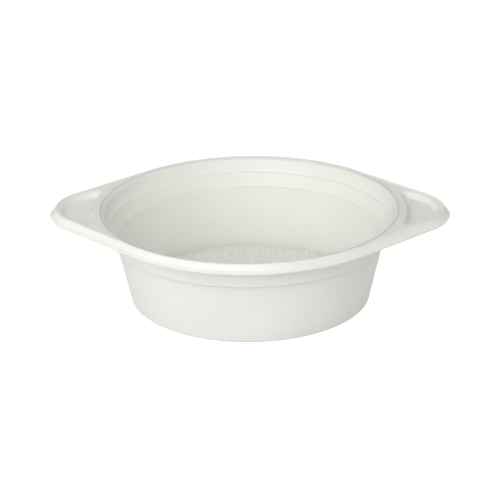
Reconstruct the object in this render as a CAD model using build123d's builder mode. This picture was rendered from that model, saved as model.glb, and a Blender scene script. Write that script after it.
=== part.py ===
"""Two-eared soup bowl, thermoformed from one sheet of plastic.

The real bowl is a single moulding. It is written here as seven zones of that moulding, each a closed solid that
meets its neighbours face to face: the ribbed floor, the foot ring it stands on, the lower wall, the stepped upper
wall, the rim, and the two ears. Origin on the bowl's axis, at the level the foot ring stands on. +X runs through
the ears, +Z up. Millimetres.
"""
import os
from math import acos, cos, degrees, radians, tan

from build123d import *

# ---- driving dimensions ------------------------------------------------------------------------------------------
rim_height = 38.05  # top of the bead that runs round the rim and the ears
lip_radius = 63.0  # trimmed edge of the lip, front and back
sheet = 0.6  # thickness of the plastic
wall_draft = 12.6  # degrees that the wall leans out from upright
base_radius = 47.65  # where the lower wall would meet the table

foot_inner_radius = 45.0  # inner side of the foot ring
foot_inner_bend = 0.8
foot_outer_bend = 1.9
floor_underside = 2.7  # height of the raised floor above the table
floor_bend = 0.2

lower_step_height = 25.6  # underside of the lower ledge
upper_step_height = 31.3  # underside of the upper ledge
step_out = 1.15  # how far a ledge sets the wall outwards
step_rise = 0.5  # how far a ledge climbs while it does so
step_bend = 0.75

rib_pitch = 2.3
rib_width = 1.2
rib_height = 0.25
rib_field_radius = 44.2  # the ribs stop short of the foot ring

mouth_edge_radius = 59.1  # where the round mouth meets the flat of the flange
mouth_bend = 1.2  # underside radius where the wall turns out into the rim
bead_rise = 0.45  # how far the bead stands above the flat beside it
bead_inner_spread = -1.7  # foot of the bead on the mouth's side; all spreads are measured out from the bead line
bead_crest_spread = -0.8
skirt_top_spread = 0.05
skirt_foot_spread = 0.87
lip_spread = 2.2
skirt_drop = 2.4  # rim top to the foot of the skirt
lip_droop = 0.65  # how far the lip falls from the skirt to its trimmed edge
bead_bend = 1.0

ear_radius = 21.3  # bead line round the tip of an ear
ear_centre = 55.9  # centre of that arc, from the bowl's axis
pocket_depth = 2.2
pocket_top_inset = 2.2  # in from the bead line
pocket_floor_inset = 3.9
pocket_top_ridge = 62.0  # radius of the ridge between the mouth and the pocket, at the top
pocket_floor_ridge = 64.0  # the same ridge at the pocket's floor
pocket_top_corner = 1.4
pocket_floor_corner = 1.0

# ---- worked out from them ----------------------------------------------------------------------------------------
bead_radius = lip_radius - lip_spread
lean = tan(radians(wall_draft))
sheet_across = sheet / cos(radians(wall_draft))  # horizontal thickness of the leaning wall
plate_top = rim_height - bead_rise  # flat of the flange, between the mouth and the bead
plate_underside = plate_top - sheet
bead_underside = rim_height - sheet
skirt_foot = rim_height - skirt_drop
lip_top = skirt_foot - lip_droop
lip_edge = lip_top - sheet
bead_slope = bead_rise / (bead_crest_spread - bead_inner_spread)
bead_side_shift = sheet * bead_slope / 2  # keeps the sheet's thickness where it climbs to the bead
floor_top = floor_underside + sheet
foot_top = floor_top
lower_wall_top = lower_step_height - step_bend
upper_wall_top = plate_underside - mouth_bend - step_bend
# direction, from +X, in which the straight flanks of the flange face
flank_angle = degrees(acos((bead_radius - ear_radius) / ear_centre))
ear_start = bead_radius * cos(radians(flank_angle))  # where the flank leaves the round rim
tall = 2 * rim_height  # safely past the bowl in height
wide = 3 * lip_radius  # safely past the bowl in plan


def wall_radius(height, start_radius, start_height):
    """Outside radius of a leaning wall that passes through (start_radius, start_height)."""
    return start_radius + (height - start_height) * lean


# ---- the sheet's section, from the axis out to the edge of the mouth ---------------------------------------------
lower_ledge_in = wall_radius(lower_step_height, base_radius, 0)
lower_ledge_out = lower_ledge_in + step_out
lower_ledge_top = lower_step_height + step_rise
upper_ledge_in = wall_radius(upper_step_height, lower_ledge_out, lower_ledge_top)
upper_ledge_out = upper_ledge_in + step_out
upper_ledge_top = upper_step_height + step_rise
mouth_radius = wall_radius(plate_underside, upper_ledge_out, upper_ledge_top)

underside = [
    (0, floor_underside),
    (foot_inner_radius, floor_underside),
    (foot_inner_radius, 0),
    (base_radius, 0),
    (lower_ledge_in, lower_step_height),
    (lower_ledge_out, lower_ledge_top),
    (upper_ledge_in, upper_step_height),
    (upper_ledge_out, upper_ledge_top),
    (mouth_radius, plate_underside),
    (mouth_edge_radius, plate_underside),
]
bends = [
    floor_bend,
    foot_inner_bend,
    foot_outer_bend,
    step_bend,
    step_bend,
    step_bend,
    step_bend,
    mouth_bend,
]

with BuildSketch(Plane.XZ) as section:
    with BuildLine() as sheet_edge:
        under = FilletPolyline(*underside, radius=bends)
        offset(under, amount=sheet, side=Side.LEFT)
    make_face()

with BuildPart() as round_shell:
    add(section.sketch)
    revolve(axis=Axis.Z)


def band(low, high):
    """The round shell between two heights."""
    with BuildPart() as ring:
        add(round_shell.part)
        with BuildSketch(Plane.XY.offset(low)):
            Circle(wide)
        extrude(amount=high - low, mode=Mode.INTERSECT)
    return ring.part


# ---- floor -------------------------------------------------------------------------------------------------------
floor_edge = foot_inner_radius - floor_bend
half_count = int(rib_field_radius / rib_pitch)

with BuildPart() as ribbed_floor:
    add(band(floor_underside, floor_top))
    with BuildSketch(Plane.XY.offset(floor_underside)):
        Circle(floor_edge)
    extrude(amount=sheet, mode=Mode.INTERSECT)
    for step in range(-half_count, half_count + 1):
        rib_x = step * rib_pitch
        rib_length = 2 * (rib_field_radius**2 - rib_x**2) ** 0.5
        with BuildSketch(Plane.XZ.offset(-rib_length / 2)):
            with Locations((rib_x, floor_top)):
                Ellipse(rib_width / 2, rib_height)
                Rectangle(rib_width, rib_height, align=(Align.CENTER, Align.MAX), mode=Mode.SUBTRACT)
        extrude(amount=rib_length)

# ---- foot ring and walls -----------------------------------------------------------------------------------------
with BuildPart() as foot_ring:
    add(band(0, foot_top))
    with BuildSketch():
        Circle(floor_edge)
    extrude(amount=foot_top, mode=Mode.SUBTRACT)

with BuildPart() as lower_wall:
    add(band(foot_top, lower_wall_top))

with BuildPart() as upper_wall:
    add(band(lower_wall_top, upper_wall_top))


# ---- flange: the bead, its skirt and the trimmed lip, round the mouth and both ears ------------------------------
def flange_outline(spread):
    """Plan of the flange, that far out from the bead line: the hull of the round rim and the two ear tips."""
    with BuildSketch() as plan:
        with BuildLine():
            CenterArc((0, 0), bead_radius + spread, 0, 360)
            for side in (-1, 1):
                CenterArc((side * ear_centre, 0), ear_radius + spread, 0, 360)
        make_hull()
    return plan.sketch


def pocket_outline(inset, ridge_radius, corner):
    """Plan of an ear's pocket: the ear less a margin, and less a round ridge beside the mouth."""
    with BuildSketch() as plan:
        add(flange_outline(-inset))
        Circle(ridge_radius, mode=Mode.SUBTRACT)
        Rectangle(wide, 2 * wide, align=(Align.MAX, Align.CENTER), mode=Mode.SUBTRACT)
        fillet(plan.vertices().sort_by(Axis.X)[:2], radius=corner)
    return plan.sketch


outside = [
    (lip_spread, lip_edge),
    (lip_spread, lip_top),
    (skirt_foot_spread, skirt_foot),
    (skirt_top_spread, rim_height),
]
hollow = [
    (lip_spread, lip_edge),
    (skirt_foot_spread - sheet, skirt_foot - sheet),
    (skirt_top_spread - sheet, bead_underside),
]
step_below = [
    (bead_inner_spread + bead_side_shift, plate_underside),
    (bead_crest_spread + bead_side_shift, bead_underside),
]
step_above = [(bead_inner_spread, plate_top), (bead_crest_spread, rim_height)]

with BuildPart() as flange:
    for spread, height in outside:
        with BuildSketch(Plane.XY.offset(height)):
            add(flange_outline(spread))
    loft(ruled=True)
    fillet(flange.faces().sort_by(Axis.Z)[-1].edges(), radius=bead_bend)
    for spread, height in hollow:
        with BuildSketch(Plane.XY.offset(height)):
            add(flange_outline(spread))
    loft(ruled=True, mode=Mode.SUBTRACT)
    for spread, height in step_below:
        with BuildSketch(Plane.XY.offset(height)):
            add(flange_outline(spread))
    loft(ruled=True)
    for spread, height in step_above:
        with BuildSketch(Plane.XY.offset(height)):
            add(flange_outline(spread))
    loft(ruled=True, mode=Mode.SUBTRACT)
    with BuildSketch(Plane.XY.offset(lip_edge)):
        Circle(mouth_edge_radius)
    extrude(amount=tall, mode=Mode.SUBTRACT)

# ---- ears --------------------------------------------------------------------------------------------------------
with BuildPart() as pocket_dish:
    with BuildSketch(Plane.XY.offset(plate_underside)):
        add(pocket_outline(pocket_top_inset - sheet, pocket_top_ridge - sheet, pocket_top_corner + sheet))
    with BuildSketch(Plane.XY.offset(plate_underside - pocket_depth)):
        add(pocket_outline(pocket_floor_inset - sheet, pocket_floor_ridge - sheet, pocket_floor_corner + sheet))
    loft(ruled=True)

with BuildPart() as pocket_space:
    with BuildSketch(Plane.XY.offset(plate_top)):
        add(pocket_outline(pocket_top_inset, pocket_top_ridge, pocket_top_corner))
    with BuildSketch(Plane.XY.offset(plate_top - pocket_depth)):
        add(pocket_outline(pocket_floor_inset, pocket_floor_ridge, pocket_floor_corner))
    loft(ruled=True)

with BuildPart() as right_ear:
    add(flange.part)
    with BuildSketch(Plane.XY.offset(lip_edge)):
        with Locations((ear_start, 0)):
            Rectangle(wide, wide, align=(Align.MIN, Align.CENTER))
    extrude(amount=tall, mode=Mode.INTERSECT)
    add(pocket_dish.part)
    add(pocket_space.part, mode=Mode.SUBTRACT)
    with BuildSketch():
        Circle(mouth_edge_radius)
    extrude(amount=tall, mode=Mode.SUBTRACT)

with BuildPart() as left_ear:
    add(mirror(right_ear.part, about=Plane.YZ, mode=Mode.PRIVATE))

# ---- rim: the round shell's rolled top, with the flange in front and behind --------------------------------------
with BuildPart() as rim:
    add(flange.part)
    with BuildSketch(Plane.XY.offset(lip_edge)):
        Rectangle(2 * ear_start, wide)
    extrude(amount=tall, mode=Mode.INTERSECT)
    add(band(upper_wall_top, rim_height))

# ---- write each zone ---------------------------------------------------------------------------------------------
zones = {
    "ribbed_floor": ribbed_floor,
    "foot_ring": foot_ring,
    "lower_wall": lower_wall,
    "upper_wall": upper_wall,
    "rim": rim,
    "left_ear": left_ear,
    "right_ear": right_ear,
}
os.makedirs("parts", exist_ok=True)
for name, zone in zones.items():
    zone.part.label = name
    export_step(zone.part, f"parts/{name}.step")
    print(name, round(zone.part.volume), "mm3")
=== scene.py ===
# %% [markdown]
# # A thin plastic soup bowl with two ears
#
# The real bowl is one sheet of white plastic, warmed and drawn down into a mould, then trimmed round its
# lip. Nothing is added to it and nothing moves. What makes it look real is therefore all in the sheet
# itself: an even thickness of about half a millimetre, soft bends where the sheet was drawn, two ledges in
# the wall, a rolled rim with a thin lip under it, shallow thumb pockets in the ears, fine ribs pressed into
# the floor, and a satin skin that lets a little light through.
#
# We build that sheet as a lattice: rows follow the section of the sheet from the floor out to the lip, and
# columns go round the bowl. Each zone of the bowl is then cut out of the same lattice, so the zones fit
# each other exactly and no seam shows.

# %% Load the frame
from math import acos, atan2, ceil, cos, pi, radians, sin, tan

import bmesh
import bpy
import numpy as np
from mathutils import Matrix, Vector


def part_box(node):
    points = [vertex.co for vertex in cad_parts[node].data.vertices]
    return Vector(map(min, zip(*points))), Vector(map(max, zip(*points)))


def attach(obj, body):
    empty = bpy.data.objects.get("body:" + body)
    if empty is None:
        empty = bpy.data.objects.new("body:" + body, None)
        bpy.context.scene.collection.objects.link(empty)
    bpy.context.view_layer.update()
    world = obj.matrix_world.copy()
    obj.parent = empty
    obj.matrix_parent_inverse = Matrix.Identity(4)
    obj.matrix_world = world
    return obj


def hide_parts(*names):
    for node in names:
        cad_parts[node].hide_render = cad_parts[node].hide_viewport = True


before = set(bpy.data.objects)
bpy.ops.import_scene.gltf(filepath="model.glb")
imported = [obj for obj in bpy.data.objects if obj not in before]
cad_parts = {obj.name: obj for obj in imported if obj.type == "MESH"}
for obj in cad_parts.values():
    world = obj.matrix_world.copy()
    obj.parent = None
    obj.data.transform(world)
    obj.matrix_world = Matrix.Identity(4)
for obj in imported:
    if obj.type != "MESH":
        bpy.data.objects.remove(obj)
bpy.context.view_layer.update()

scene = bpy.context.scene
mm = 0.001

# %% [markdown]
# ## Camera
#
# The bowl is small and is seen from well back with a long lens, so its rim is a calm ellipse with hardly
# any perspective. We place the camera on a sphere round a point inside the bowl: a turn round the bowl, a
# height above the table, and a distance. Looking from `target + back * distance` towards the target is
# simpler to reason about than typing three angles, and the last touch is a slight roll, because the bowl
# stands a little out of level.

# %% Camera
camera_turn = radians(2.12)
camera_rise = radians(21.98)
camera_roll = radians(-0.683)
camera_distance = 797.4 * mm
camera_lens = 143.5  # on a sensor 36 wide, both in millimetres
camera_target = Vector((0, 0, 19.43 * mm))

back = Vector((sin(camera_turn) * cos(camera_rise), -cos(camera_turn) * cos(camera_rise), sin(camera_rise)))
camera_data = bpy.data.cameras.new("camera")
camera_data.sensor_width = 36
camera_data.lens = camera_lens
camera = bpy.data.objects.new("camera", camera_data)
camera.rotation_mode = "QUATERNION"
camera.location = camera_target + back * camera_distance
facing = (-back).to_track_quat("-Z", "Y")
camera.rotation_quaternion = facing @ Matrix.Rotation(camera_roll, 4, "Z").to_quaternion()
scene.collection.objects.link(camera)
scene.camera = camera
print("camera stands", [round(v / mm) for v in camera.location], "mm from the bowl's foot")

# %% [markdown]
# ## Driving sizes
#
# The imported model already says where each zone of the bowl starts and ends, so we read those heights and
# radii from it and only name what it can't tell us: the thickness of the sheet, how far each ledge steps
# out, and how tightly each corner is bent.

# %% Sizes of the bowl
sheet = 0.6 * mm

rim_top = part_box("rim")[1].z
lip_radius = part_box("rim")[1].y
mouth_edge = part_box("rim")[1].x  # where the round mouth meets the flat of the flange
ear_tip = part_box("right_ear")[1].x
floor_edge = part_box("ribbed_floor")[1].x
floor_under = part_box("ribbed_floor")[0].z
foot_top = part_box("foot_ring")[1].z
lower_wall_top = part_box("lower_wall")[1].z
upper_wall_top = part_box("upper_wall")[1].z

wall_lean = tan(radians(12.6))
base_radius = 47.65 * mm
foot_inner_radius = 45.0 * mm
foot_inner_bend = 0.8 * mm
foot_outer_bend = 1.9 * mm
floor_bend = 0.2 * mm
lower_ledge = 25.8 * mm
upper_ledge = 31.5 * mm
ledge_out = 1.15 * mm
ledge_rise = 0.05 * mm
ledge_inner_bend = 0.05 * mm
ledge_outer_bend = 0.75 * mm
mouth_bend = 1.2 * mm
bead_rise = 0.45 * mm  # the bead stands this much above the flat of the flange
plate_top = rim_top - bead_rise

lip_spread = 2.2 * mm  # spreads are measured out from the bead line, near the crest of the bead
bead_radius = lip_radius - lip_spread
ear_radius = 21.3 * mm
ear_centre = ear_tip - lip_spread - ear_radius
print(f"rim {2 * lip_radius / mm:.0f}, over the ears {2 * ear_tip / mm:.0f}, height {rim_top / mm:.1f} mm")

# %% [markdown]
# ## Section of the sheet
#
# A drawn sheet has no sharp corners: straight runs are joined by small arcs. `bent_path` takes the corners
# of such a section and the bend at each, and returns points along the runs and arcs with the direction that
# is square to the sheet at each point. Stepping each point along that direction by the sheet's thickness
# gives the other side. A corner with no bend is only a mark on a straight run, which we use to cut the bowl
# into zones later.

# %% Helper: a path with bends
run_step = 2.5 * mm
end_step = 0.12 * mm  # short first and last step on a run, which keeps a bend's shading from spreading
arc_step = radians(11)


def bent_path(corners, bends):
    """Points and left-hand normals along runs joined by arcs, and the row where each unbent corner is."""
    corners = [np.array(c, float) for c in corners]
    points, normals, marks = [], [], {}

    def put(point, direction):
        points.append(point)
        normals.append(np.array((-direction[1], direction[0])))

    start = corners[0]
    for i, bend in enumerate([*bends, 0]):
        corner = corners[i + 1]
        before = corner - corners[i]
        before /= np.linalg.norm(before)
        after = before if i + 2 >= len(corners) else corners[i + 2] - corner
        after = after / np.linalg.norm(after)
        turn = atan2(before[0] * after[1] - before[1] * after[0], before @ after)
        tangent = abs(bend * tan(turn / 2))
        end = corner - before * tangent
        length = np.linalg.norm(end - start)
        shares = np.linspace(0, 1, 1 + max(1, ceil(length / run_step)))
        if length > 3 * end_step:
            shares = np.sort([*shares, end_step / length, 1 - end_step / length])
        for share in shares[1 if points else 0 :]:
            put(start + (end - start) * share, before)
        if bend:
            side = np.array((-before[1], before[0])) * (1 if turn > 0 else -1)
            centre = end + side * bend
            arcs = max(2, ceil(abs(turn) / arc_step))
            for k in range(1, arcs + 1):
                swing = turn * k / arcs
                turned = np.array([[cos(swing), -sin(swing)], [sin(swing), cos(swing)]])
                put(centre - turned @ side * bend, turned @ before)
        else:
            marks[i + 1] = len(points) - 1
        start = corner + after * tangent
    return np.array(points), np.array(normals), marks


# %% [markdown]
# The section runs along the underside of the sheet, from the floor, down and up again through the foot
# ring, up the leaning wall over both ledges, and out over the edge of the mouth to the flat of the flange.

# %% Section of the round part


def wall_at(height, radius, from_height):
    """Radius of the leaning wall at a height, when it passes through the other two."""
    return radius + (height - from_height) * wall_lean


ledge_1_in = wall_at(lower_ledge, base_radius, 0)
ledge_2_in = wall_at(upper_ledge, ledge_1_in + ledge_out, lower_ledge + ledge_rise)
mouth_in = wall_at(plate_top - sheet, ledge_2_in + ledge_out, upper_ledge + ledge_rise)
section = [  # radius, height and bend
    (floor_edge, floor_under, 0),
    (foot_inner_radius, floor_under, floor_bend),
    (foot_inner_radius, 0, foot_inner_bend),
    (base_radius, 0, foot_outer_bend),
    (wall_at(foot_top, base_radius, 0), foot_top, 0),
    (wall_at(lower_wall_top, base_radius, 0), lower_wall_top, 0),
    (ledge_1_in, lower_ledge, ledge_inner_bend),
    (ledge_1_in + ledge_out, lower_ledge + ledge_rise, ledge_outer_bend),
    (ledge_2_in, upper_ledge, ledge_inner_bend),
    (ledge_2_in + ledge_out, upper_ledge + ledge_rise, ledge_outer_bend),
    (wall_at(upper_wall_top, ledge_2_in + ledge_out, upper_ledge + ledge_rise), upper_wall_top, 0),
    (mouth_in, plate_top - sheet, mouth_bend),
    (mouth_edge, plate_top - sheet, 0),
]
under_path, under_normals, marks = bent_path([s[:2] for s in section], [s[2] for s in section[1:-1]])
top_path = under_path + under_normals * sheet
wall_start, wall_break, rim_start, mouth_row = (marks[i] for i in (4, 5, 10, 12))
print("rows in the section:", len(under_path), "cut at", wall_start, wall_break, rim_start)

# %% [markdown]
# ## Plan of the flange
#
# Seen from above, the rim is a circle and each ear is the tip of a smaller circle, joined to it by straight
# flanks, as if a belt ran round three discs. `reach(angle, spread)` says how far the flange goes out in a
# direction. With a spread, the belt is that much larger all round, which is how the skirt and the lip
# follow the same line.

# %% Helper: how far the flange reaches
flank_angle = acos((bead_radius - ear_radius) / ear_centre)  # the way the flanks face


def reach(angle, spread):
    """Distance from the bowl's axis to the flange's outline in these directions."""
    folded = np.arctan2(np.abs(np.sin(angle)), np.abs(np.cos(angle)))
    ear = ear_radius + spread
    on_ear = ear_centre * np.cos(folded) + np.sqrt(np.maximum(ear**2 - (ear_centre * np.sin(folded)) ** 2, 0))
    on_flank = (bead_radius + spread) / np.cos(folded - flank_angle)
    ear_end = atan2(ear * sin(flank_angle), ear_centre + ear * cos(flank_angle))
    return np.where(folded < ear_end, on_ear, np.where(folded < flank_angle, on_flank, bead_radius + spread))


for direction in (0, 30, 60, 90):
    print(f"flange at {direction} degrees: {reach(radians(direction), lip_spread) / mm:.1f} mm")

# %% [markdown]
# Columns go round the bowl. An ear needs them close together for its pocket, and the plain rim doesn't, so
# the steps are fine within the ears' share of the circle and coarser in front and behind.

# %% Columns round the bowl
fine_step = radians(0.32)
coarse_step = radians(0.9)


def even(start, stop, step):
    """Evenly spaced angles from start up to, and without, stop."""
    return np.linspace(start, stop, ceil((stop - start) / step), endpoint=False)


columns = np.concatenate(
    [
        even(-flank_angle, flank_angle, fine_step),
        even(flank_angle, pi - flank_angle, coarse_step),
        even(pi - flank_angle, pi + flank_angle, fine_step),
        even(pi + flank_angle, 2 * pi - flank_angle, coarse_step),
    ]
)
east, north = np.cos(columns), np.sin(columns)
print(len(columns), "columns")

# %% [markdown]
# ## Thumb pocket
#
# Each ear is dished a couple of millimetres so that a thumb doesn't slip. The pocket keeps a margin from
# the bead outside and a round ridge beside the mouth. We could cut it with a boolean, but a drawn sheet
# flows into such a pocket, so we treat it as a change of height instead: find how deep a point lies inside
# the pocket's outline, and lower it along a soft slope. Where the two borders meet, their distances are
# blended, which rounds the corner.

# %% Helper: depth of the pocket
pocket_depth = 2.2 * mm
pocket_margin = 2.2 * mm
pocket_slope = 1.7 * mm  # width of the sloping side
ridge_outside = 62.0 * mm
ridge_slope = 2.0 * mm
pocket_corner = 6.2 * mm


def dish(x, y):
    """How far the sheet is pressed down at these places on an ear."""
    ax, ay = np.abs(x), np.abs(y)
    from_tip = ear_radius - np.hypot(ax - ear_centre, ay)
    from_flank = bead_radius - (ax * cos(flank_angle) + ay * sin(flank_angle))
    past_flank = np.arctan2(ay, ax - ear_centre) > flank_angle
    outer = np.where(past_flank, from_flank, from_tip) - pocket_margin
    inner = (np.hypot(ax, ay) - ridge_outside) * pocket_slope / ridge_slope
    short = np.hypot(np.maximum(pocket_corner - outer, 0), np.maximum(pocket_corner - inner, 0))
    nearest = np.minimum(outer, inner)
    inside = np.where(nearest < pocket_corner, pocket_corner - short, nearest)
    share = np.clip(inside / pocket_slope, 0, 1)
    return pocket_depth * share * share * (3 - 2 * share)


print(f"middle of the pocket is {dish(0.068, 0.0) / mm:.2f} mm deep")

# %% [markdown]
# ## The flange's own section
#
# From the flat the sheet climbs to a low bead, rolls over it, drops as a steep skirt and flares out again
# as the drooping lip that the trimming knife leaves. We use the same bent path as before, but its first
# number is now a spread from the bead line, so one short section serves the rim and both ears.

# %% Section of bead, skirt and lip
flange_section = [  # spread, height and bend
    (-1.60 * mm, plate_top, 0),  # on the flat
    (-1.42 * mm, plate_top, 0.55 * mm),  # foot of the bead
    (-0.75 * mm, rim_top, 0.65 * mm),  # inner side of its crest
    (0.05 * mm, rim_top, 0.80 * mm),  # outer side of its crest
    (0.87 * mm, rim_top - 2.40 * mm, 0.50 * mm),  # foot of the skirt
    (lip_spread, rim_top - 3.05 * mm, 0),  # trimmed edge
]
edge_top, edge_normals, _ = bent_path([s[:2] for s in flange_section], [s[2] for s in flange_section[1:-1]])
edge_under = edge_top - edge_normals * sheet
print(len(edge_top), "rows from the bead to the lip")


# %% Lattices of the whole sheet


def ring_rows(path):
    """Rows of points round the bowl for a section of radius and height."""
    radius = path[:, 0, None]
    height = np.broadcast_to(path[:, 1, None], (len(path), len(columns)))
    return np.stack([radius * east, radius * north, height], axis=-1)


def plate_rows(count, drop):
    """Rows across the flat of the flange, from the mouth to the bead, dished in the ears."""
    share = np.linspace(0, 1, count + 1)[1:-1, None]
    radius = mouth_edge + (reach(columns, edge_top[0, 0]) - mouth_edge) * share
    x, y = radius * east, radius * north
    return np.stack([x, y, plate_top - drop - dish(x, y)], axis=-1)


def edge_rows(path):
    """Rows over the bead and out to the lip, following the flange's outline."""
    radius = np.stack([reach(columns, spread) for spread in path[:, 0]])
    height = np.broadcast_to(path[:, 1, None], radius.shape)
    return np.stack([radius * east, radius * north, height], axis=-1)


def whole_sheet(plate_count):
    """Top and underside of the sheet from the floor's edge out to the lip."""
    top = [ring_rows(top_path), plate_rows(plate_count, 0), edge_rows(edge_top)]
    under = [ring_rows(under_path), plate_rows(plate_count, sheet), edge_rows(edge_under)]
    return np.concatenate(top), np.concatenate(under)


plain_plate_rows = 4
ear_plate_rows = 46  # close together, for the pocket
round_top, round_under = whole_sheet(plain_plate_rows)
ear_top, ear_under = whole_sheet(ear_plate_rows)
print("lattices of", round_top.shape[:2], "and", ear_top.shape[:2], "points")

# %% [markdown]
# ## Cutting a zone out of the lattice
#
# A zone is a set of cells. Its top and underside faces come straight from the two lattices, and wherever a
# cell has no neighbour in the zone, a strip joins the two sides, so every zone is a closed shell of the
# sheet's thickness. The strips stay flat shaded, with sharp edges, and the rest is smooth: the smooth faces
# then shade as if the sheet ran on, which is what hides the joint between two zones.

# %% Helper: one zone as a mesh


def crease_flat_faces(mesh):
    """Mark the edges of the flat shaded faces sharp, so that they don't darken their smooth neighbours."""
    for face in mesh.polygons:
        if not face.use_smooth:
            for loop in face.loop_indices:
                mesh.edges[mesh.loops[loop].edge_index].use_edge_sharp = True


def cut_zone(name, top, under, keep):
    """A closed piece of the sheet. keep says which cells belong to it, by row, and by column if need be."""
    rows, across = len(top) - 1, len(columns)
    keep = np.broadcast_to(keep, (rows, across))
    following = (np.arange(across) + 1) % across
    number = {}
    points = []

    def vertex(side, row, column):
        key = (side, row, column)
        if key not in number:
            number[key] = len(points)
            points.append((under if side else top)[row, column])
        return number[key]

    faces, strips = [], []
    for row, column in zip(*np.nonzero(keep)):
        right = following[column]
        corners = ((row, column), (row + 1, column), (row + 1, right), (row, right))
        faces.append([vertex(0, *c) for c in corners])
        faces.append([vertex(1, *c) for c in reversed(corners)])
        beside = (
            keep[row, column - 1],
            row + 1 < rows and keep[row + 1, column],
            keep[row, right],
            row > 0 and keep[row - 1, column],
        )
        for k, joined in enumerate(beside):
            if not joined:
                a, b = corners[k], corners[(k + 1) % 4]
                strips.append([vertex(0, *b), vertex(0, *a), vertex(1, *a), vertex(1, *b)])
    mesh = bpy.data.meshes.new(name)
    mesh.from_pydata(points, [], faces + strips)
    smooth = [True] * len(faces) + [False] * len(strips)
    mesh.polygons.foreach_set("use_smooth", smooth)
    crease_flat_faces(mesh)
    mesh.update()
    piece = bpy.data.objects.new(name, mesh)
    scene.collection.objects.link(piece)
    return piece


def closed_volume(piece):
    """Volume in cubic millimetres, and how many edges don't join exactly two faces."""
    shape = bmesh.new()
    shape.from_mesh(piece.data)
    loose = sum(len(e.link_faces) != 2 for e in shape.edges)
    volume = shape.calc_volume(signed=True)
    shape.free()
    return round(volume / mm**3), loose


# %% Foot, walls, rim and ears
row_of_round = np.arange(len(round_top) - 1)[:, None]
row_of_ear = np.arange(len(ear_top) - 1)[:, None]
past_column = columns + 1e-6  # a direction inside each cell, just past the column that it starts at
right_side = np.cos(past_column) > cos(flank_angle)
left_side = np.cos(past_column) < -cos(flank_angle)
plain_side = ~(right_side | left_side)
rolled_mouth = (row_of_round >= rim_start) & (row_of_round < mouth_row)
plain_flange = (row_of_round >= mouth_row) & plain_side


def round_zone(name, first, last):
    """A zone that goes all round the bowl, between two rows."""
    return cut_zone(name, round_top, round_under, (row_of_round >= first) & (row_of_round < last))


pieces = {
    "foot_ring": round_zone("foot_sheet", 0, wall_start),
    "lower_wall": round_zone("lower_wall_sheet", wall_start, wall_break),
    "upper_wall": round_zone("upper_wall_sheet", wall_break, rim_start),
    "rim": cut_zone("rim_sheet", round_top, round_under, rolled_mouth | plain_flange),
    "left_ear": cut_zone("left_ear_sheet", ear_top, ear_under, (row_of_ear >= mouth_row) & left_side),
    "right_ear": cut_zone("right_ear_sheet", ear_top, ear_under, (row_of_ear >= mouth_row) & right_side),
}
for node, piece in pieces.items():
    volume, loose = closed_volume(piece)
    print(f"{piece.name}: {len(piece.data.polygons)} faces, {volume} mm3, {loose} open edges")

# %% [markdown]
# ## Ribbed floor
#
# The floor is stiffened by fine ribs pressed into the sheet, all running front to back. They follow a rule,
# a wave across the bowl that dies away near the foot ring, so the floor is made by Geometry Nodes: a grid
# is bent into a disc, its height follows the wave, and a second copy below it closes the sheet. Named
# inputs keep the rib's pitch and height easy to change.

# %% Node tree for the ribbed floor
tree = bpy.data.node_groups.new("ribbed floor", "GeometryNodeTree")
inputs = {
    "Radius": ("NodeSocketFloat", floor_edge),
    "Underside": ("NodeSocketFloat", floor_under),
    "Sheet": ("NodeSocketFloat", sheet),
    "Rib Pitch": ("NodeSocketFloat", 2.3 * mm),
    "Rib Height": ("NodeSocketFloat", 0.32 * mm),
    "Plain Border": ("NodeSocketFloat", 1.0 * mm),
    "Across": ("NodeSocketInt", 640),
    "Along": ("NodeSocketInt", 48),
    "Finish": ("NodeSocketMaterial", None),
}
sockets = {}
for label, (kind, _) in inputs.items():
    sockets[label] = tree.interface.new_socket(label, in_out="INPUT", socket_type=kind)
tree.interface.new_socket("Floor", in_out="OUTPUT", socket_type="NodeSocketGeometry")
given = tree.nodes.new("NodeGroupInput")
result = tree.nodes.new("NodeGroupOutput")


def link(source, target):
    """A wire in the floor's tree."""
    tree.links.new(source, target)


def math_node(operation, first, second=None):
    """A Math node. Each operand is a socket or a number."""
    node = tree.nodes.new("ShaderNodeMath")
    node.operation = operation
    for slot, operand in zip(node.inputs, (first, second)):
        if operand is None:
            continue
        if isinstance(operand, (int, float)):
            slot.default_value = operand
        else:
            link(operand, slot)
    return node.outputs[0]


grid = tree.nodes.new("GeometryNodeMeshGrid")
grid.inputs["Size X"].default_value = 1.99  # a hair short of 2, so that the two ends don't shrink to a point
grid.inputs["Size Y"].default_value = 2
link(given.outputs["Across"], grid.inputs["Vertices X"])
link(given.outputs["Along"], grid.inputs["Vertices Y"])

grid_point = tree.nodes.new("GeometryNodeInputPosition")
flat = tree.nodes.new("ShaderNodeSeparateXYZ")
link(grid_point.outputs[0], flat.inputs[0])

# The grid's lines close up towards the circle both ways, and along the ribs they shrink to its chord.
radius = given.outputs["Radius"]
swing = math_node("MULTIPLY", flat.outputs["X"], pi / 2)
disc_x = math_node("MULTIPLY", math_node("SINE", swing), radius)
chord = math_node("MULTIPLY", math_node("COSINE", swing), radius)
disc_y = math_node("MULTIPLY", math_node("SINE", math_node("MULTIPLY", flat.outputs["Y"], pi / 2)), chord)

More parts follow.
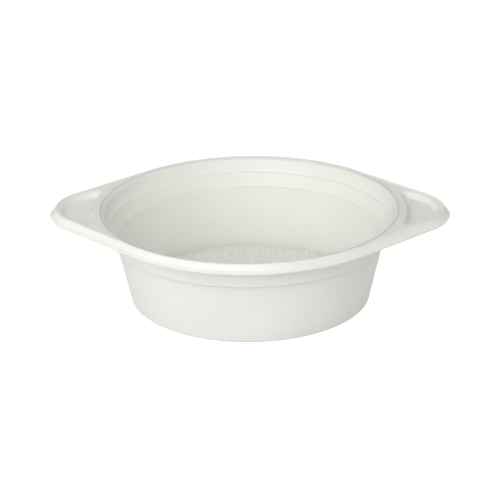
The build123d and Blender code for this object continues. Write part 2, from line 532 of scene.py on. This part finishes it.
# The wave across the disc, made a little narrower by the power, and faded out in the plain border.
rib_sharpness = 1.8
cycles = math_node("DIVIDE", math_node("MULTIPLY", disc_x, 2 * pi), given.outputs["Rib Pitch"])
even_wave = math_node("ADD", math_node("MULTIPLY", math_node("COSINE", cycles), 0.5), 0.5)
wave = math_node("POWER", even_wave, rib_sharpness)
away = math_node("SQRT", math_node("ADD", math_node("POWER", disc_x, 2), math_node("POWER", disc_y, 2)))
inside = math_node("DIVIDE", math_node("SUBTRACT", radius, away), given.outputs["Plain Border"])
fade = tree.nodes.new("ShaderNodeMapRange")
fade.interpolation_type = "SMOOTHSTEP"
fade.inputs["From Min"].default_value = 0.3
fade.inputs["From Max"].default_value = 1.0
link(inside, fade.inputs["Value"])
rib = math_node("MULTIPLY", math_node("MULTIPLY", wave, fade.outputs["Result"]), given.outputs["Rib Height"])
under_height = math_node("ADD", rib, given.outputs["Underside"])
top_height = math_node("ADD", under_height, given.outputs["Sheet"])

where = tree.nodes.new("ShaderNodeCombineXYZ")
link(disc_x, where.inputs["X"])
link(disc_y, where.inputs["Y"])
link(top_height, where.inputs["Z"])
skin = tree.nodes.new("GeometryNodeSetPosition")
link(grid.outputs["Mesh"], skin.inputs["Geometry"])
link(where.outputs[0], skin.inputs["Position"])

# The same skin pushed down by the sheet's thickness, and turned over, closes the disc below and at its edge.
below = tree.nodes.new("GeometryNodeExtrudeMesh")
below.mode = "FACES"
below.inputs["Individual"].default_value = False
downwards = tree.nodes.new("ShaderNodeCombineXYZ")
downwards.inputs["Z"].default_value = -1
link(downwards.outputs[0], below.inputs["Offset"])
link(skin.outputs["Geometry"], below.inputs["Mesh"])
link(given.outputs["Sheet"], below.inputs["Offset Scale"])
flat_edge = tree.nodes.new("GeometryNodeSetShadeSmooth")
flat_edge.inputs["Shade Smooth"].default_value = False
link(below.outputs["Mesh"], flat_edge.inputs["Geometry"])
link(below.outputs["Side"], flat_edge.inputs["Selection"])
turned = tree.nodes.new("GeometryNodeFlipFaces")
link(flat_edge.outputs["Geometry"], turned.inputs["Mesh"])
both = tree.nodes.new("GeometryNodeJoinGeometry")
link(skin.outputs["Geometry"], both.inputs[0])
link(turned.outputs["Mesh"], both.inputs[0])
welded = tree.nodes.new("GeometryNodeMergeByDistance")
welded.inputs["Distance"].default_value = 0.0001 * mm
link(both.outputs[0], welded.inputs["Geometry"])
real = tree.nodes.new("GeometryNodeRealizeInstances")
link(welded.outputs["Geometry"], real.inputs["Geometry"])
finish = tree.nodes.new("GeometryNodeSetMaterial")
link(real.outputs["Geometry"], finish.inputs["Geometry"])
link(given.outputs["Finish"], finish.inputs["Material"])
link(finish.outputs["Geometry"], result.inputs["Floor"])
print(len(tree.nodes), "nodes in the floor's tree")

# %% [markdown]
# ## Finish: satin moulded plastic
#
# Thin white polystyrene is a soft white, a touch green-grey, with a satin skin. It isn't quite opaque:
# light that falls on one side of the sheet glows faintly through to the other, which keeps its shadows
# pale. A Principled shader gives the white body and the satin reflection, and a Translucent shader takes a
# third of the light through the sheet. Slow noise varies the gloss as the mould's polish does, a broad weak
# bump gives the gentle waviness of drawn sheet, and a fine weak bump gives the skin its grain.

# %% Material


def moulded_plastic():
    """Satin white plastic that lets a little light through."""
    material = bpy.data.materials.new("satin white plastic")
    material.use_nodes = True
    shader_tree = material.node_tree
    nodes = shader_tree.nodes
    nodes.clear()

    def wire(source, target):
        shader_tree.links.new(source, target)

    def noise(scale, detail, roughness=0.5):
        node = nodes.new("ShaderNodeTexNoise")
        node.inputs["Scale"].default_value = scale
        node.inputs["Detail"].default_value = detail
        node.inputs["Roughness"].default_value = roughness
        wire(position.outputs["Object"], node.inputs["Vector"])
        return node.outputs[0]

    def ramp(source, low, high, low_at=0.3, high_at=0.7):
        node = nodes.new("ShaderNodeMapRange")
        wire(source, node.inputs["Value"])
        settings = {"From Min": low_at, "From Max": high_at, "To Min": low, "To Max": high}
        for label, value in settings.items():
            node.inputs[label].default_value = value
        return node.outputs["Result"]

    position = nodes.new("ShaderNodeTexCoord")
    body = nodes.new("ShaderNodeBsdfPrincipled")
    body.inputs["IOR"].default_value = 1.55
    glow = nodes.new("ShaderNodeBsdfTranslucent")
    mixed = nodes.new("ShaderNodeMixShader")
    mixed.inputs[0].default_value = 0.35
    output = nodes.new("ShaderNodeOutputMaterial")

    # Colour: a very slight cloudiness where the sheet was drawn thinner.
    tint = nodes.new("ShaderNodeMix")
    tint.data_type = "RGBA"
    tint.inputs["A"].default_value = (0.845, 0.86, 0.815, 1)
    tint.inputs["B"].default_value = (0.875, 0.88, 0.845, 1)
    wire(ramp(noise(38, 3), 0, 1), tint.inputs["Factor"])
    wire(tint.outputs["Result"], body.inputs["Base Color"])
    wire(tint.outputs["Result"], glow.inputs["Color"])

    # Gloss: satin, with the mould's polish wandering a little.
    wire(ramp(noise(120, 4), 0.42, 0.54), body.inputs["Roughness"])

    # Surface: slow waves of the drawn sheet, then the fine grain of its skin.
    waves = nodes.new("ShaderNodeBump")
    waves.inputs["Strength"].default_value = 0.12
    waves.inputs["Distance"].default_value = 0.3 * mm
    wire(noise(70, 1), waves.inputs["Height"])
    grain = nodes.new("ShaderNodeBump")
    grain.inputs["Strength"].default_value = 0.06
    grain.inputs["Distance"].default_value = 0.04 * mm
    wire(noise(2600, 3, 0.6), grain.inputs["Height"])
    wire(waves.outputs["Normal"], grain.inputs["Normal"])
    wire(grain.outputs["Normal"], body.inputs["Normal"])
    wire(waves.outputs["Normal"], glow.inputs["Normal"])

    wire(body.outputs["BSDF"], mixed.inputs[1])
    wire(glow.outputs["BSDF"], mixed.inputs[2])
    wire(mixed.outputs["Shader"], output.inputs["Surface"])
    return material


plastic = moulded_plastic()
for piece in pieces.values():
    piece.data.materials.append(plastic)
print("finish:", plastic.name)

# %% Ribbed floor as a plain mesh
holder = bpy.data.objects.new("floor holder", bpy.data.meshes.new("floor holder"))
scene.collection.objects.link(holder)
pressed = holder.modifiers.new("ribbed floor", "NODES")
pressed.node_group = tree
for label, (_, value) in inputs.items():
    pressed[sockets[label].identifier] = plastic if label == "Finish" else value
bpy.context.view_layer.update()
graph = bpy.context.evaluated_depsgraph_get()
floor_mesh = bpy.data.meshes.new_from_object(holder.evaluated_get(graph))
bpy.data.objects.remove(holder)
floor_mesh.name = "floor_sheet"
crease_flat_faces(floor_mesh)
floor_piece = bpy.data.objects.new("floor_sheet", floor_mesh)
scene.collection.objects.link(floor_piece)
pieces["ribbed_floor"] = floor_piece
volume, loose = closed_volume(floor_piece)
print(f"floor_sheet: {len(floor_mesh.polygons)} faces, {volume} mm3, {loose} open edges")

# %% [markdown]
# ## Table and light
#
# The bowl stands on a white table that runs out of sight. A white surround gives it an even light from all
# round. Two large soft lights in front and a little to the left add to it, one high and one low, so that
# the outside of the wall and the far side of the inside come out brighter than the flat ears. A weak one at
# each side keeps the ends from going grey. The table glows by itself, as a lit product table does, so no
# ground shadow shows.

# %% Table
table_half = 12.0  # metres, so that its edge stays out of sight from a low angle
table_mesh = bpy.data.meshes.new("table")
table_shape = bmesh.new()
bmesh.ops.create_grid(table_shape, x_segments=8, y_segments=8, size=table_half)
table_shape.to_mesh(table_mesh)
table_shape.free()
table = bpy.data.objects.new("table", table_mesh)
scene.collection.objects.link(table)

table_finish = bpy.data.materials.new("white table")
table_finish.use_nodes = True
table_body = table_finish.node_tree.nodes["Principled BSDF"]
table_body.inputs["Base Color"].default_value = (0.8, 0.8, 0.8, 1)
table_body.inputs["Roughness"].default_value = 0.9
table_body.inputs["Specular IOR Level"].default_value = 0.2
table_body.inputs["Emission Color"].default_value = (1, 1, 1, 1)
table_body.inputs["Emission Strength"].default_value = 0.7
table_mesh.materials.append(table_finish)
table.visible_diffuse = False  # a backdrop only: the surround lights the bowl from below instead

# %% Lights

light_distance = 1.3
light_size = 0.7


def soft_light(name, turn, rise, power):
    """A square area light that faces the bowl: its turn to the right of the front, and its rise."""
    data = bpy.data.lights.new(name, "AREA")
    data.size = light_size
    data.energy = power
    lamp = bpy.data.objects.new(name, data)
    lamp.location = light_distance * Vector((sin(turn) * cos(rise), -cos(turn) * cos(rise), sin(rise)))
    lamp.rotation_mode = "QUATERNION"
    lamp.rotation_quaternion = lamp.location.to_track_quat("Z", "Y")
    scene.collection.objects.link(lamp)


soft_light("high front", radians(-12), radians(40), 6.3)
soft_light("low front", radians(-20), radians(15), 7.2)
soft_light("left side", radians(-75), radians(15), 2.0)
soft_light("right side", radians(80), radians(6), 2.4)

world = bpy.data.worlds.new("studio")
world.use_nodes = True
surround = world.node_tree.nodes["Background"]
surround.inputs["Color"].default_value = (1, 1, 1, 1)
surround.inputs["Strength"].default_value = 0.505
scene.world = world
scene.view_settings.view_transform = "Standard"

# %% [markdown]
# ## Put the pieces on the body
#
# Nothing on a bowl moves, so every piece rides on the one body. Each stands for the CAD zone of the same
# name.

# %% Ride and replace
for node, piece in pieces.items():
    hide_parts(node)
    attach(piece, "root")
